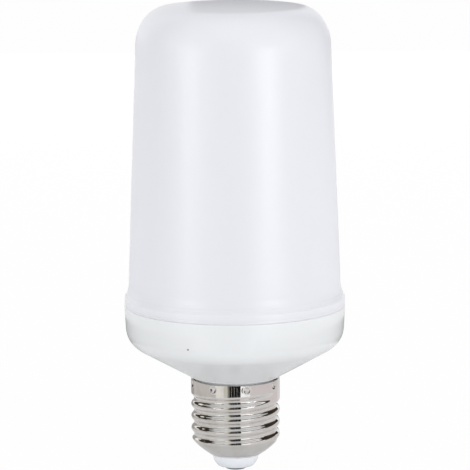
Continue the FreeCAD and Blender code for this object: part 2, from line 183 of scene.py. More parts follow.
def rounded(points, radii, steps):
    """An open outline with corner i rounded by radii[i]; the ends stay sharp."""
    out = [points[0]]
    for i in range(1, len(points) - 1):
        before, corner, after = (Vector(q) for q in points[i - 1 : i + 2])
        radius = radii.get(i, 0.0)
        if radius <= 0.0:
            out.append(tuple(corner))
            continue
        to_a = (before - corner).normalized()
        to_b = (after - corner).normalized()
        half = to_a.angle(to_b) / 2
        reach = radius / math.tan(half)
        centre = corner + (to_a + to_b).normalized() * (radius / math.sin(half))
        a = corner + to_a * reach
        b = corner + to_b * reach
        first = math.atan2(a.y - centre.y, a.x - centre.x)
        turn = math.atan2(b.y - centre.y, b.x - centre.x) - first
        turn = (turn + math.pi) % (2 * math.pi) - math.pi
        for j in range(steps + 1):
            angle = first + turn * j / steps
            out.append((centre.x + radius * math.cos(angle), centre.y + radius * math.sin(angle)))
    out.append(points[-1])
    return out


def divided(points, longest):
    """The outline with each straight run split so that no part is longer than longest."""
    out = [points[0]]
    for a, b in zip(points, points[1:]):
        count = max(1, math.ceil(math.dist(a, b) / longest))
        for i in range(1, count + 1):
            out.append((a[0] + (b[0] - a[0]) * i / count, a[1] + (b[1] - a[1]) * i / count))
    return out


def bulged(a, b, bulge, steps):
    """Points from a to b that stand off the chord by bulge, to the right of the way."""
    size = math.dist(a, b)
    side = ((b[1] - a[1]) / size, (a[0] - b[0]) / size)
    out = []
    for i in range(steps + 1):
        t = i / steps
        off = 4 * bulge * t * (1 - t)
        out.append((a[0] + (b[0] - a[0]) * t + side[0] * off, a[1] + (b[1] - a[1]) * t + side[1] * off))
    return out


def smooth_step(value, low, high):
    """Goes smoothly from 0 at low to 1 at high."""
    t = min(1.0, max(0.0, (value - low) / (high - low)))
    return t * t * (3 - 2 * t)


# Meshes


def on_ring(r, z, angle):
    """A point in metres at a radius and a height in millimetres and an angle round the axis."""
    return (r * MM * math.cos(angle), r * MM * math.sin(angle), z * MM)


def ring_of(mesh_data, r, z, segments, start=0.0):
    """A ring of new vertices from a start angle round, or one vertex where it lies on the axis."""
    if r < ON_AXIS:
        return [mesh_data.verts.new((0, 0, z * MM))]
    angles = [start + 2 * math.pi * i / segments for i in range(segments)]
    return [mesh_data.verts.new(on_ring(r, z, angle)) for angle in angles]


def skin_rings(mesh_data, rings):
    """Faces from each ring to the next and from the last to the first, but none along the axis."""
    for low, high in zip(rings, rings[1:] + rings[:1]):
        count = max(len(low), len(high))
        if count == 1:
            continue
        for i in range(count):
            j = (i + 1) % count
            if len(low) == 1:
                mesh_data.faces.new((low[0], high[j], high[i]))
            elif len(high) == 1:
                mesh_data.faces.new((low[i], low[j], high[0]))
            else:
                mesh_data.faces.new((low[i], low[j], high[j], high[i]))


def finish_mesh(name, mesh_data, sharp_deg=35.0):
    """A new object from a bmesh, smooth apart from its sharp edges."""
    bmesh.ops.recalc_face_normals(mesh_data, faces=mesh_data.faces)
    for face in mesh_data.faces:
        face.smooth = True
    for edge in mesh_data.edges:
        if len(edge.link_faces) == 2 and edge.calc_face_angle(0.0) > math.radians(sharp_deg):
            edge.smooth = False
    mesh = bpy.data.meshes.new(name)
    mesh_data.to_mesh(mesh)
    mesh_data.free()
    piece = bpy.data.objects.new(name, mesh)
    bpy.context.scene.collection.objects.link(piece)
    return piece


def lathe(name, outline, segments):
    """A closed body of revolution from an outline in millimetres."""
    mesh_data = bmesh.new()
    skin_rings(mesh_data, [ring_of(mesh_data, r, z, segments) for r, z in outline])
    return finish_mesh(name, mesh_data)


# Node tools


def add_node(tree, kind, values=None, **settings):
    """A new node with its settings, and with its inputs set or linked by name or place."""
    node = tree.nodes.new(kind)
    for key, value in settings.items():
        setattr(node, key, value)
    for key, value in (values or {}).items():
        if isinstance(value, bpy.types.NodeSocket):
            tree.links.new(value, node.inputs[key])
        else:
            node.inputs[key].default_value = value
    return node


def maths(tree, operation, a, b, clamp=False):
    return add_node(tree, "ShaderNodeMath", {0: a, 1: b}, operation=operation, use_clamp=clamp).outputs[0]


def swing(tree, value, middle, size):
    """How far a value is from its middle, times a size."""
    return maths(tree, "MULTIPLY", maths(tree, "SUBTRACT", value, middle), size)


def mix_colour(tree, share, a, b, blend="MIX"):
    node = add_node(tree, "ShaderNodeMix", {0: share, 6: a, 7: b}, data_type="RGBA", blend_type=blend)
    return node.outputs[2]


def noise(tree, where, scale, detail, roughness=0.5):
    values = {"Vector": where, "Scale": scale, "Detail": detail, "Roughness": roughness}
    return add_node(tree, "ShaderNodeTexNoise", values).outputs["Fac"]


def ranged(tree, value, low, high, to_low, to_high):
    """A value between low and high moved to the range between to_low and to_high."""
    values = {0: value, 1: low, 2: high, 3: to_low, 4: to_high}
    return add_node(tree, "ShaderNodeMapRange", values, clamp=True).outputs[0]


def place(tree):
    return tree.nodes.new("ShaderNodeTexCoord").outputs["Object"]


def stretched(tree, where, scale):
    return add_node(tree, "ShaderNodeMapping", {"Vector": where, "Scale": scale}).outputs[0]


def rgba(colour):
    return (colour[0], colour[1], colour[2], 1.0)


def darker(colour, share):
    return rgba([part * share for part in colour])


def new_group(name, inputs):
    """A shader group with the outputs of a finish, and the sockets that it is given and results in."""
    group = bpy.data.node_groups.new(name, "ShaderNodeTree")
    outputs = [("Colour", WHITE), ("Roughness", 0.3), ("Height", 0.0)]
    for direction, sockets in (("INPUT", inputs), ("OUTPUT", outputs)):
        for label, default in sockets:
            kind = "NodeSocketFloat" if isinstance(default, float) else "NodeSocketColor"
            socket = group.interface.new_socket(name=label, in_out=direction, socket_type=kind)
            socket.default_value = default
    return group, group.nodes.new("NodeGroupInput").outputs, group.nodes.new("NodeGroupOutput").inputs


def moulded_skin():
    """Slow tone drift, fine grain and sparse specks of a moulded surface."""
    if "moulded skin" in bpy.data.node_groups:
        return bpy.data.node_groups["moulded skin"]
    inputs = [("Colour", WHITE), ("Drift", 0.02), ("Specks", 0.0), ("Roughness", 0.3), ("Grain", 900.0)]
    group, given, result = new_group("moulded skin", inputs)
    where = place(group)
    slow = noise(group, where, scale=28.0, detail=2.0)
    fine = noise(group, where, scale=given["Grain"], detail=2.0)
    tone = maths(group, "ADD", swing(group, slow, 0.5, given["Drift"]), 1.0)
    tint = add_node(group, "ShaderNodeCombineColor", {0: tone, 1: tone, 2: tone}).outputs[0]
    drifted = mix_colour(group, 1.0, given["Colour"], tint, "MULTIPLY")
    cells = add_node(group, "ShaderNodeTexVoronoi", {"Vector": where, "Scale": 210.0}).outputs["Distance"]
    speck = ranged(group, cells, 0.035, 0.05, 1.0, 0.0)
    rare = ranged(group, noise(group, where, scale=60.0, detail=0.0), 0.66, 0.68, 0.0, 1.0)
    mask = maths(group, "MULTIPLY", maths(group, "MULTIPLY", speck, rare), given["Specks"])
    dusted = mix_colour(group, mask, drifted, rgba((0.12, 0.11, 0.10)))
    rough = maths(group, "ADD", given["Roughness"], swing(group, fine, 0.5, 0.06), clamp=True)
    group.links.new(dusted, result["Colour"])
    group.links.new(rough, result["Roughness"])
    group.links.new(fine, result["Height"])
    return group


def rolled_plate():
    """Drawing lines round the axis, fine scuffs and a slight tarnish on plated sheet."""
    if "rolled plate" in bpy.data.node_groups:
        return bpy.data.node_groups["rolled plate"]
    inputs = [("Colour", WHITE), ("Tarnish", rgba((0.4, 0.34, 0.28))), ("Roughness", 0.2), ("Lines", 0.3)]
    group, given, result = new_group("rolled plate", inputs)
    where = place(group)
    lines = noise(group, stretched(group, where, (6.0, 6.0, 900.0)), scale=1.0, detail=3.0)
    scuffs = noise(group, stretched(group, where, (1.0, 1.0, 2.0)), scale=420.0, detail=4.0, roughness=0.7)
    cloud = noise(group, where, scale=160.0, detail=4.0, roughness=0.65)
    stain = ranged(group, cloud, 0.5, 0.75, 0.0, 0.35)
    colour = mix_colour(group, stain, given["Colour"], given["Tarnish"])
    rough = maths(group, "ADD", given["Roughness"], swing(group, scuffs, 0.45, 0.22), clamp=True)
    height = maths(group, "MULTIPLY", lines, given["Lines"])
    group.links.new(colour, result["Colour"])
    group.links.new(rough, result["Roughness"])
    group.links.new(height, result["Height"])
    return group


# Materials


def show(tree, surface):
    """Feeds the material's output from a shader's socket."""
    output = next(node for node in tree.nodes if node.type == "OUTPUT_MATERIAL")
    tree.links.new(surface, output.inputs["Surface"])


def new_material(name):
    """A node material with its Principled shader and output, and nothing else."""
    material = bpy.data.materials.new(name)
    material.use_nodes = True
    tree = material.node_tree
    tree.nodes.clear()
    shader = tree.nodes.new("ShaderNodeBsdfPrincipled")
    tree.nodes.new("ShaderNodeOutputMaterial")
    show(tree, shader.outputs[0])
    return material, shader


def finished_material(name, group, values, strength, relief):
    """A material whose colour, roughness and bump come from a shared group. relief is in millimetres."""
    material, shader = new_material(name)
    tree = material.node_tree
    finish = add_node(tree, "ShaderNodeGroup", values, node_tree=group).outputs
    tree.links.new(finish["Colour"], shader.inputs["Base Color"])
    tree.links.new(finish["Roughness"], shader.inputs["Roughness"])
    values = {"Height": finish["Height"], "Strength": strength, "Distance": relief * MM}
    bump = add_node(tree, "ShaderNodeBump", values)
    tree.links.new(bump.outputs[0], shader.inputs["Normal"])
    return material, shader


def moulded_material(name, colour, roughness, drift=0.02, specks=0.0, grain=900.0, relief=0.02):
    """A moulded plastic with the shared skin, and its shader."""
    values = {"Colour": rgba(colour), "Drift": drift, "Specks": specks}
    values.update({"Roughness": roughness, "Grain": grain})
    material, shader = finished_material(name, moulded_skin(), values, 0.35, relief)
    shader.inputs["IOR"].default_value = 1.49
    return material, shader


def plated_material(name, colour, tarnish, roughness, lines=0.3, relief=0.01):
    """A plated metal with the shared rolling lines."""
    values = {"Colour": rgba(colour), "Tarnish": rgba(tarnish), "Roughness": roughness, "Lines": lines}
    material, shader = finished_material(name, rolled_plate(), values, 0.5, relief)
    shader.inputs["Metallic"].default_value = 1.0
    return material


def board_material(name, colour, roughness):
    """Solder mask in three shades of its colour, like the tracks under it."""
    material, shader = moulded_material(name, colour, roughness, drift=0.05, grain=700.0, relief=0.01)
    tree = material.node_tree
    values = {"Vector": place(tree), "Scale": 420.0, "Mortar Size": 0.03}
    values.update({"Color1": rgba(colour), "Color2": darker(colour, 0.86), "Mortar": darker(colour, 0.7)})
    tracks = add_node(tree, "ShaderNodeTexBrick", values)
    tree.links.new(tracks.outputs["Color"], shader.inputs["Base Color"])
    return material


def lamp_material(colour):
    """A lamp's window of phosphor with a slow change of tone."""
    material, shader = new_material("lamp phosphor")
    tree = material.node_tree
    cloud = noise(tree, place(tree), scale=700.0, detail=2.0)
    tree.links.new(mix_colour(tree, cloud, rgba(colour), darker(colour, 0.8)), shader.inputs["Base Color"])
    shader.inputs["Roughness"].default_value = 0.3
    return material


def dust_speck(tree, shader, at, radius):
    """One small dark speck on a moulded skin, round a point in metres."""
    apart = add_node(tree, "ShaderNodeVectorMath", {0: place(tree), 1: at}, operation="DISTANCE")
    speck = maths(tree, "LESS_THAN", apart.outputs["Value"], radius)
    clean = shader.inputs["Base Color"].links[0].from_socket
    tree.links.new(mix_colour(tree, speck, clean, rgba((0.22, 0.21, 0.2))), shader.inputs["Base Color"])


def dress(piece, material):
    """Puts a material on a new piece, or on a CAD node's own slots."""
    if piece.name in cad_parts:
        for slot in piece.material_slots:
            slot.material = material
        return
    piece.data.materials.clear()
    piece.data.materials.append(material)


def seat(piece, slot, *nodes):
    """A finished piece rides on the body and hides the CAD nodes that it stands for; slot is not used."""
    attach(piece, "root")
    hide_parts(*nodes)


# Cover

BODY_SEGMENTS = 192
WALL_FOOT_R = 31.15
CROWN_RISE = 0.5
FOOT_BEVEL = 0.16
RING_HEIGHTS = (0.9, 2.75, 3.5, 4.3)
RING_HALF_WIDTH = 0.11


def foot_rings(up, depth):
    """How deep the fine turned rings are at a height above the parting line, in millimetres."""
    return depth * sum(math.exp(-(((up - ring) / RING_HALF_WIDTH) ** 2)) for ring in RING_HEIGHTS)


def cover_outline(cover):
    """The cover's outline: foot, ridges, cove, wall, shoulder and crown, then the inner face."""
    foot_z = level("diffuser", 0)
    foot_r = outer_radius("diffuser")
    wall = cover.wall / MM
    foot_top = foot_z + cover.foot_height / MM
    wall_foot = (WALL_FOOT_R, foot_top + cover.cove / MM)
    width, height = cover.shoulder_width / MM, cover.shoulder_height / MM
    shoulder_r = cover.shoulder_r / MM
    crown_z = level("diffuser", 1) - CROWN_RISE
    shoulder_z = crown_z - height
    turn_centre = (shoulder_r - width, shoulder_z)

    fine_step, wall_step = 0.09, 6.0
    knee_in, knee_bulge = 0.1, 0.07
    ledge_in, ledge_rise = 0.36, 0.28
    cove_hollow = 0.25
    side = [(foot_r - FOOT_BEVEL, foot_z), (foot_r, foot_z + FOOT_BEVEL)]
    knee = (foot_r - knee_in, foot_top)
    ledge = (foot_r - ledge_in, foot_top + ledge_rise)
    side += divided([side[-1], knee], fine_step)[1:]
    side += bulged(knee, ledge, knee_bulge, 6)[1:]
    side += bulged(ledge, wall_foot, -cove_hollow, 48)[1:]
    side = [(r - foot_rings(z - foot_z, cover.ridge / MM), z) for r, z in side]
    side += divided([wall_foot, (shoulder_r, shoulder_z)], wall_step)[1:]
    side += arc(turn_centre, (width, height), 0, 90, 22)[1:]
    for i in range(7, -1, -1):
        t = i / 8
        side.append((turn_centre[0] * t, crown_z + CROWN_RISE * (1 - t**2)))

    inner = [(0.0, crown_z - wall)]
    inner += arc(turn_centre, (width - wall, height - wall), 90, 0, 10)
    inner += [(WALL_FOOT_R - wall, wall_foot[1]), (foot_r - wall, foot_top), (foot_r - wall, foot_z)]
    return side + inner


class BULB_OT_cover(bpy.types.Operator):
    """Builds the frosted cover with its ring foot"""

    bl_idname = "bulb.cover"
    bl_label = "Cover"

    def execute(self, context):
        cover = context.scene.bulb_cover
        piece = lathe("cover", cover_outline(cover), BODY_SEGMENTS)
        finish = {"drift": 0.012, "grain": 1400.0, "relief": 0.012}
        material, shader = moulded_material("frosted cover", cover.colour, cover.roughness, **finish)
        shader.inputs["Subsurface Weight"].default_value = 0.25
        shader.inputs["Subsurface Radius"].default_value = (0.004, 0.004, 0.0045)
        shader.inputs["Subsurface Scale"].default_value = 1.0
        dress(piece, material)
        seat(piece, "cover", "diffuser")
        return {"FINISHED"}


# Housing

RIM_ABOVE_LIP = 21.15
LIP_R = 13.75
LIP_HEIGHT = 0.12
NECK_R = 11.7
NECK_BORE_R = 10.65
SPIGOT_R = 30.8
SPIGOT_BORE_R = 29.5
BAND_DRAFT = 0.058
CORNER_ROUND = 6.8
INNER_CORNER_ROUND = 5.9
CONE_ANGLE = math.radians(29.7)
SPECK_AT = (-0.0135, -0.0291, 0.0420)
SPECK_R = 0.00028


def housing_outline(housing):
    """The cup's closed outline from the neck over the lip, cone and band to the spigot, and back inside."""
    rim_z = level("diffuser", 0)
    rim_r = outer_radius("housing")
    neck_z, top_z = level("housing", 0), level("housing", 1)
    lip_z = rim_z - RIM_ABOVE_LIP
    cone_z = lip_z + LIP_HEIGHT
    wall = housing.wall / MM
    slope = math.tan(CONE_ANGLE)
    # The band and the cone meet where both give the same radius
    corner_z = (cone_z + (rim_r - BAND_DRAFT * rim_z - LIP_R) * slope) / (1 - BAND_DRAFT * slope)
    corner_r = rim_r - BAND_DRAFT * (rim_z - corner_z)
    inner_cone_z = cone_z - (LIP_R - NECK_BORE_R) * slope + wall / math.cos(CONE_ANGLE)
    # Each corner is r, z and its rounding
    corners = [
        (NECK_BORE_R, neck_z, 0.0),
        (NECK_R, neck_z, 0.0),
        (NECK_R, lip_z + 0.1, 0.0),
        (LIP_R, lip_z, 0.05),
        (LIP_R, cone_z, 0.1),
        (corner_r, corner_z, CORNER_ROUND),
        (rim_r, rim_z, housing.edge / MM),
        (SPIGOT_R, rim_z, 0.0),
        (SPIGOT_R, top_z, 0.2),
        (SPIGOT_BORE_R, top_z, 0.2),
        (SPIGOT_BORE_R, rim_z - wall, 0.0),
        (rim_r - 0.6 - wall, rim_z - wall - 3.0, 0.0),
        (corner_r - wall, corner_z + 1.2, INNER_CORNER_ROUND),
        (NECK_BORE_R, inner_cone_z, 0.0),
    ]
    points = [(r, z) for r, z, _ in corners]
    radii = {i: rounding for i, (_, _, rounding) in enumerate(corners)}
    return divided(rounded(points, radii, 10), 4.0)


class BULB_OT_housing(bpy.types.Operator):
    """Builds the glossy cup with its lip and neck"""

    bl_idname = "bulb.housing"
    bl_label = "Housing"

    def execute(self, context):
        housing = context.scene.bulb_housing
        piece = lathe("housing_cup", housing_outline(housing), BODY_SEGMENTS)
        finish = {"drift": 0.015, "specks": 0.5, "grain": 1100.0, "relief": 0.006}
        material, shader = moulded_material("glossy housing", housing.colour, housing.roughness, **finish)
        dust_speck(material.node_tree, shader, SPECK_AT, SPECK_R)
        shader.inputs["Coat Weight"].default_value = 0.25
        shader.inputs["Coat Roughness"].default_value = 0.06
        dress(piece, material)
        seat(piece, "housing_white", "housing")
        return {"FINISHED"}


# Screw cap

CAP_SEGMENTS = 360
CAP_STEP = 0.16
CAP_EDGE = 0.14
RUN_OUT = (0.30, 0.45)
END_Z = 4.5
END_HEIGHT = 5.2
END_R = 7.2
END_SPREAD = 5.9
END_BULGE = 2.2
END_FLARE = 6.0
BLEND = 0.28
FIRST_PUNCH = 15.0
PUNCH_SPACING = 45.0
PUNCH_BELOW_RIM = 1.5
PUNCH_REACH = 1.35
PUNCH_FLAT = 0.25
PUNCH_RIM = (1.08, 0.05)


def thread_depth(cap, turns):
    """How far the round thread stands back from its crest, by turns above a crest."""
    pitch = cap.pitch / MM
    deep = (cap.crest_r - cap.root_r) / MM
    radius = (pitch**2 / 4 + deep**2) / (4 * deep)
    off = abs(turns - round(turns)) * pitch
    if off <= pitch / 4:
        return radius - math.sqrt(radius**2 - off**2)
    return deep - radius + math.sqrt(radius**2 - (pitch / 2 - off) ** 2)


def end_radius(z):
    """The radius of the cap's drawn-in end at a height, in millimetres."""
    t = (z - END_Z) / END_HEIGHT
    if t > 1.0:
        return END_R + END_SPREAD + END_FLARE * (t - 1.0)
    return END_R + END_SPREAD * t + END_BULGE * t * (1 - t)


def cap_radius(cap, turn, z):
    """The cap's outer radius in millimetres at a height. turn goes from 0 at the left side to 1."""
    above = (z - cap.crest_z / MM) / (cap.pitch / MM) - turn
    depth = thread_depth(cap, above)
    if above > 1.0:
        depth = 0.0
    elif above > 0.0:
        depth *= 1.0 - smooth_step(turn, *RUN_OUT)
    radius = cap.crest_r / MM - depth
    end = end_radius(z)
    blended = max(0.0, BLEND - abs(radius - end))
    return min(radius, end) - blended**2 / (4 * BLEND)


def punch_depth(cap, azimuth, z, top_z):
    """How deep the staking punch marks are at an azimuth in degrees from the front."""
    nearest = FIRST_PUNCH + PUNCH_SPACING * round((azimuth - FIRST_PUNCH) / PUNCH_SPACING)
    across = math.radians(azimuth - nearest) * cap.crest_r / MM
    away = math.hypot(across, z - (top_z - PUNCH_BELOW_RIM)) / (cap.punch_r / MM)
    if away >= PUNCH_REACH:
        return 0.0
    dent = cap.punch_depth / MM * (1 - smooth_step(away, PUNCH_FLAT, 1.0))
    rim_at, rim_height = PUNCH_RIM
    return dent - rim_height * math.exp(-((away - rim_at) ** 2) / 0.02)


def cap_outside(mesh_data, cap, low_z, top_z):
    """The rings of the cap's outer face, from the drawn-in end up to the rolled edge."""
    heights = []
    z = low_z + CAP_EDGE
    while z < top_z - CAP_EDGE:
        heights.append(z)
        z += CAP_STEP
    rings = []
    for z in heights + [top_z - CAP_EDGE]:
        ring = []
        for i in range(CAP_SEGMENTS):
            turn = i / CAP_SEGMENTS
            r = cap_radius(cap, turn, z) - punch_depth(cap, 360.0 * turn - 90.0, z, top_z)
            ring.append(mesh_data.verts.new(on_ring(r, z, math.pi + 2 * math.pi * turn)))
        rings.append(ring)
    return rings


def cap_inside(cap, low_z, top_z):
    """The outline of the cap's top edge and inner face, down to the hole in its end."""
    crest = cap.crest_r / MM
    inner = crest - cap.sheet / MM
    bore = (cap.root_r - cap.sheet) / MM
    return [
        (crest - 0.05, top_z - 0.04),
        (crest - CAP_EDGE, top_z),
        (inner + 0.05, top_z),
        (inner, top_z - 0.08),
        (inner, top_z - 3.6),
        (bore, top_z - 4.0),
        (bore, low_z + 4.3),
        (9.14, low_z + 1.76),
        (6.97, low_z + 0.3),
        (7.02, low_z + 0.05),
        (7.12, low_z),
    ]


class BULB_OT_cap(bpy.types.Operator):
    """Builds the rolled screw cap with its round thread, collar, punch marks and drawn-in end"""

    bl_idname = "bulb.cap"
    bl_label = "Screw cap"

    def execute(self, context):
        cap = context.scene.bulb_cap
        low_z, top_z = level("screw_shell", 0), level("screw_shell", 1)
        mesh_data = bmesh.new()
        rings = cap_outside(mesh_data, cap, low_z, top_z)
        for r, z in cap_inside(cap, low_z, top_z):
            rings.append(ring_of(mesh_data, r, z, CAP_SEGMENTS, math.pi))
        skin_rings(mesh_data, rings)
        piece = finish_mesh("screw_cap", mesh_data, 50.0)
        finish = {"tarnish": (0.42, 0.36, 0.30), "roughness": cap.roughness, "lines": 0.35, "relief": 0.008}
        dress(piece, plated_material("nickel plate", cap.colour, **finish))
        seat(piece, "nickel", "screw_shell")
        return {"FINISHED"}


# Plug

HOLE_R = 1.22
SHANK_R = 1.2


def insulator_outline():
    """The insulator's closed outline: the nose, the flare behind it and the hole for the contact."""
    low_z, top_z = level("insulator", 0), level("insulator", 1)
    neck_z = low_z + 3.65
    outline = [(HOLE_R, low_z), (4.0, low_z)] + bulged((5.0, low_z), (6.9, neck_z), 0.4, 10)[1:]
    outline += [(6.93, neck_z + 0.3), (9.1, neck_z + 1.8), (10.6, top_z), (HOLE_R, top_z)]
    return rounded(outline, {1: 0.3}, 5)


def contact_outline():
    """The contact's outline from its tip over the button's rim to the end of the shank."""
    seat_z, top_z = level("insulator", 0), level("centre_contact", 1)
    button = [(0.0, 0.0), (1.6, 0.03)] + arc((2.6, 0.8), (0.8, 0.72), -80, 0, 8)
    return button + [(3.4, seat_z - 0.05), (3.3, seat_z), (SHANK_R, seat_z), (SHANK_R, top_z), (0.0, top_z)]


class BULB_OT_plug(bpy.types.Operator):
    """Builds the insulator and the centre contact"""

    bl_idname = "bulb.plug"
    bl_label = "Insulator and contact"

    def execute(self, context):
        plug = context.scene.bulb_plug
        piece = lathe("insulator_plug", insulator_outline(), 96)
        finish = {"roughness": 0.22, "specks": 0.2, "grain": 1300.0, "relief": 0.006}
        dress(piece, moulded_material("insulator white", plug.insulator_colour, **finish)[0])
        seat(piece, "insulator_white", "insulator")
        contact = lathe("contact_button", contact_outline(), 72)
        finish = {"tarnish": (0.25, 0.24, 0.24), "roughness": 0.3, "lines": 0.1, "relief": 0.02}
        dress(contact, plated_material("tinned contact", plug.contact_colour, **finish))
        seat(contact, "contact_tin", "centre_contact")
        return {"FINISHED"}


# Inside


class BULB_OT_inside(bpy.types.Operator):
    """Gives the frame, boards, parts and leads inside the cover their finishes"""

    bl_idname = "bulb.inside"
    bl_label = "Boards, driver and leads"

    def execute(self, context):
        inside = context.scene.bulb_inside
        white, lead = inside.frame_colour, inside.lead_colour
        sleeve, coil = (0.012, 0.012, 0.018), (0.03, 0.03, 0.032)
        chip, lacquer = (0.02, 0.02, 0.02), (0.05, 0.12, 0.2)
        # Each moulding: name, colour, roughness, drift, grain, relief and its nodes
        mouldings = (
            ("inner frame", white, 0.45, 0.03, 800.0, 0.02, ("base_plate", "core_tube", "end_plate")),
            ("capacitor sleeve", sleeve, 0.25, 0.1, 500.0, 0.01, ("bulk_capacitor",)),
            ("chip body", chip, 0.55, 0.15, 1500.0, 0.03, ("bridge_rectifier", "driver_chip", "flame_chip")),
            ("coil sleeve", coil, 0.6, 0.1, 600.0, 0.05, ("inductor",)),
            ("resistor lacquer", lacquer, 0.3, 0.06, 900.0, 0.02, ("fuse_resistor",)),
            ("lead sheath", lead, 0.4, 0.05, 900.0, 0.01, ("live_wire", "neutral_wire", "board_link")),
        )
        finishes = []
        for name, colour, roughness, drift, grain, relief, nodes in mouldings:
            material = moulded_material(name, colour, roughness, drift=drift, grain=grain, relief=relief)[0]
            finishes.append((material, nodes))
        mask = board_material("lamp board mask", inside.lamp_board_colour, 0.4)
        finishes.append((mask, ("flex_board", "top_board")))
        finishes.append((board_material("driver board mask", inside.board_colour, 0.35), ("driver_board",)))
        finishes.append((lamp_material(inside.phosphor_colour), ("flame_leds", "top_leds")))
        can = plated_material("plated can", (0.75, 0.73, 0.68), (0.4, 0.38, 0.34), 0.22, lines=0.2)
        finishes.append((can, ("tilt_switch",)))
        zinc = plated_material("zinc screws", (0.7, 0.71, 0.72), (0.4, 0.4, 0.36), 0.32)
        finishes.append((zinc, ("base_screws",)))
        for material, nodes in finishes:
            for node in nodes:
                dress(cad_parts[node], material)
        return {"FINISHED"}


# Stage

FLOOR_HALF = 4.0
FLOOR_Z = -0.0002
FLOOR_GLOW = 0.97
MIDDLE = Vector((0.0, 0.0, 0.075))
LAMP_DISTANCE = 1.1
STRIP_SIZE, STRIP_Z = (0.4, 0.26), 0.14
SOFT_SIZE, SOFT_Z = (0.32, 0.6), 0.26
FILL_SIZE, FILL_Z = (0.5, 0.3), 0.17
OVERHEAD_SIZE, OVERHEAD_AT = (0.9, 0.9), Vector((0.0, -0.15, 1.3))
MIRRORED_SHARE = 0.65
# Each lamp: name, azimuth from the front and share of its group's power
STRIPS = (("strip_left", -50.0, 0.85), ("strip_right", 40.0, 1.25))
FILLS = (("fill_left", -105.0, 1.0), ("fill_right", 105.0, 1.25), ("fill_back", 180.0, 2.8))

BLACK = (0.01, 0.009, 0.008)
BROWN = (0.05, 0.042, 0.03)
OLIVE = (0.03, 0.03, 0.02)
AT_RIM, NEAR, IN_ROOM = 0.045, 0.08, 0.5
# Each card: name, first and last azimuth from the front, lower and upper edge in metres, distance and shade
CARDS = (
    ("card_dark_0", -14.0, -9.0, 0.0, 0.16, NEAR, BLACK),
    ("card_dark_1", -8.6, -3.0, 0.0, 0.16, NEAR, BLACK),
    ("card_dark_2", -2.6, 4.0, 0.0, 0.16, NEAR, BLACK),
    ("card_dark_3", 4.4, 12.5, 0.0, 0.16, NEAR, BLACK),
    ("card_fade", -18.5, -14.0, 0.0, 0.16, NEAR, (0.26, 0.24, 0.2)),
    ("card_green", -28.0, -18.5, 0.0, 0.16, NEAR, (0.62, 0.62, 0.55)),
    ("card_rim", -165.0, -128.0, 0.0, 0.03, NEAR, (0.40, 0.39, 0.38)),
    ("card_warm", -128.0, -48.0, 0.0, 0.033, NEAR, (0.60, 0.572, 0.555)),
    ("card_pale", -48.0, -28.0, 0.0, 0.033, NEAR, (0.84, 0.82, 0.79)),
    ("card_white", 12.5, 36.0, 0.0, 0.033, NEAR, (1.1, 1.1, 1.1)),
    ("card_pink", 36.0, 130.0, 0.0, 0.033, NEAR, (0.70, 0.655, 0.66)),
    ("card_brown_left", -135.0, -28.0, 0.029, 0.041, AT_RIM, BROWN),
    ("card_brown_right", 12.5, 140.0, 0.029, 0.041, AT_RIM, BROWN),
    ("card_olive_left", -118.0, -82.0, 0.07, 0.8, IN_ROOM, OLIVE),
    ("card_olive_right", 84.0, 150.0, 0.07, 0.8, IN_ROOM, OLIVE),
    ("card_dark_back", 160.0, 190.0, 0.0, 0.16, NEAR, BLACK),
)


def around(azimuth_deg, distance, z):
    """A point at an azimuth from the front, a distance from the axis and a height, in metres."""
    azimuth = math.radians(azimuth_deg)
    return Vector((distance * math.sin(azimuth), -distance * math.cos(azimuth), z))


def only_in_reflections(card):
    card.visible_camera = False
    card.visible_diffuse = False
    card.visible_shadow = False
    card.visible_transmission = False
    card.visible_volume_scatter = False


def studio_card(name, from_deg, to_deg, low, high, distance, shade):
    """A curved card between two azimuths from the front, seen only in reflections."""
    mesh_data = bmesh.new()
    steps = max(2, int(abs(to_deg - from_deg) / 4))
    azimuths = [from_deg + (to_deg - from_deg) * i / steps for i in range(steps + 1)]
    lower = [mesh_data.verts.new(around(azimuth, distance, low)) for azimuth in azimuths]
    upper = [mesh_data.verts.new(around(azimuth, distance, high)) for azimuth in azimuths]
    for i in range(steps):
        mesh_data.faces.new((lower[i], lower[i + 1], upper[i + 1], upper[i]))
    card = finish_mesh(name, mesh_data)
    material, shader = new_material(name)
    tree = material.node_tree
    tree.nodes.remove(shader)
    light = add_node(tree, "ShaderNodeEmission", {"Color": rgba(shade), "Strength": 1.0})
    show(tree, light.outputs[0])
    dress(card, material)
    only_in_reflections(card)


def area_lamp(name, power, size, where, mirrored=True):
    """A rectangular lamp that faces the bulb's middle, seen in reflections where it is mirrored."""
    data = bpy.data.lights.new(name, "AREA")
    data.shape = "RECTANGLE"
    data.size, data.size_y = size
    data.energy = power
    lamp = bpy.data.objects.new(name, data)
    lamp.location = where
    lamp.rotation_euler = (MIDDLE - where).to_track_quat("-Z", "Y").to_euler()
    lamp.visible_glossy = mirrored
    bpy.context.scene.collection.objects.link(lamp)


def add_lamps(stage):
    """Two strips in front with a soft twin over each, one lamp overhead and fills at the sides and back."""
    for name, azimuth, share in STRIPS:
        power = stage.strip * share
        low, high = around(azimuth, LAMP_DISTANCE, STRIP_Z), around(azimuth, LAMP_DISTANCE, SOFT_Z)
        area_lamp(name, power * MIRRORED_SHARE, STRIP_SIZE, low)
        area_lamp(name + "_soft", power * (1 - MIRRORED_SHARE), SOFT_SIZE, high, mirrored=False)
    area_lamp("overhead", stage.overhead, OVERHEAD_SIZE, OVERHEAD_AT)
    for name, azimuth, share in FILLS:
        where = around(azimuth, LAMP_DISTANCE, FILL_Z)
        area_lamp(name, stage.fill * share, FILL_SIZE, where, mirrored=False)


